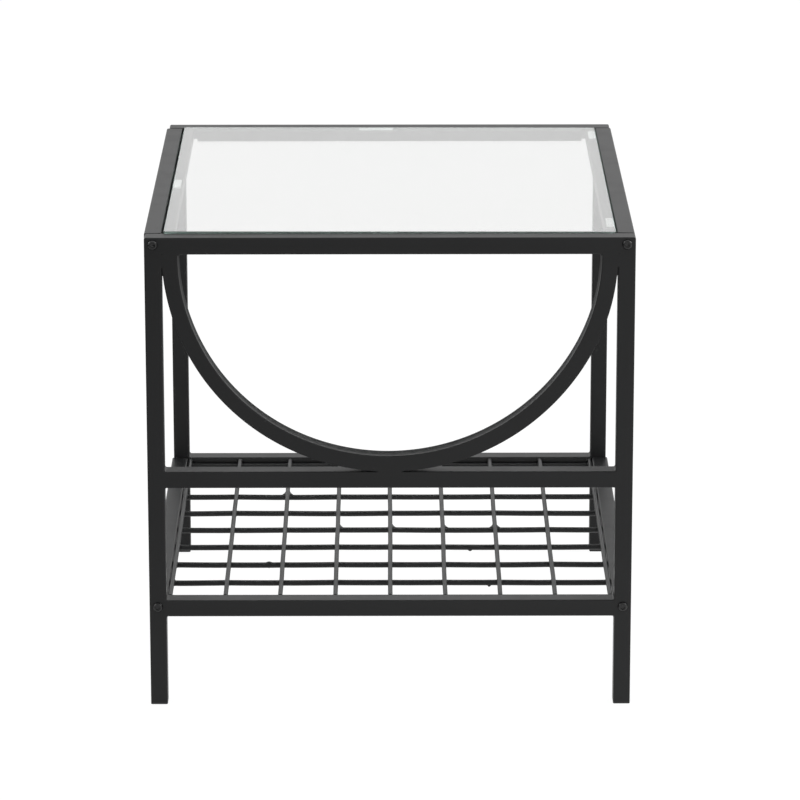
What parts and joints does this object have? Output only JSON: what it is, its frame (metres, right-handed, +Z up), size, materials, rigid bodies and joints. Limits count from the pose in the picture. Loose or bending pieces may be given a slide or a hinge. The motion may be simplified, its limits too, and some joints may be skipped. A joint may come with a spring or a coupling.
{
  "type": "side table",
  "caption": "Black steel tube side table with an inset clear glass top, a rolled half-round arc in its front frame and a welded wire mesh shelf.",
  "frame": {"origin": "on the floor under the table's centre", "axes": "+Z up, +X to the right, +Y to the back; the front frame with the arc stands at -Y"},
  "size_m": [0.5, 0.5566, 0.5023],
  "materials": {
    "frame_paint": "fine satin black powder coat on welded steel tube and rod",
    "glass": "clear float glass with ground and polished greenish edges",
    "clear_pad": "soft clear plastic",
    "bolt": "black button head, slightly glossy",
    "insert": "plain machined steel",
    "foot": "black moulded plastic"
  },
  "bodies": {
    "root": {"arc_front": "frame_paint", "cross_rod_1": "frame_paint", "cross_rod_2": "frame_paint", "cross_rod_3": "frame_paint", "cross_rod_4": "frame_paint", "cross_rod_5": "frame_paint", "cross_rod_6": "frame_paint", "cross_rod_7": "frame_paint", "cross_rod_8": "frame_paint", "cross_rod_9": "frame_paint", "foot_back_left": "foot", "foot_back_right": "foot", "foot_front_left": "foot", "foot_front_right": "foot", "frame_bolts_shelf": "bolt", "frame_bolts_top": "bolt", "glass_pads": "clear_pad", "glass_top": "glass", "ledge_back": "frame_paint", "ledge_front": "frame_paint", "ledge_left": "frame_paint", "ledge_right": "frame_paint", "leg_back_left": "frame_paint", "leg_back_right": "frame_paint", "leg_front_left": "frame_paint", "leg_front_right": "frame_paint", "long_rod_1": "frame_paint", "long_rod_2": "frame_paint", "long_rod_3": "frame_paint", "long_rod_4": "frame_paint", "long_rod_5": "frame_paint", "long_rod_6": "frame_paint", "long_rod_7": "frame_paint", "long_rod_8": "frame_paint", "long_rod_9": "frame_paint", "middle_rail_front": "frame_paint", "rail_inserts_shelf": "insert", "rail_inserts_top": "insert", "shelf_rail_back": "frame_paint", "shelf_rail_front": "frame_paint", "shelf_rail_left": "frame_paint", "shelf_rail_right": "frame_paint", "top_rail_back": "frame_paint", "top_rail_front": "frame_paint", "top_rail_left": "frame_paint", "top_rail_right": "frame_paint"}
  },
  "joints": []
}
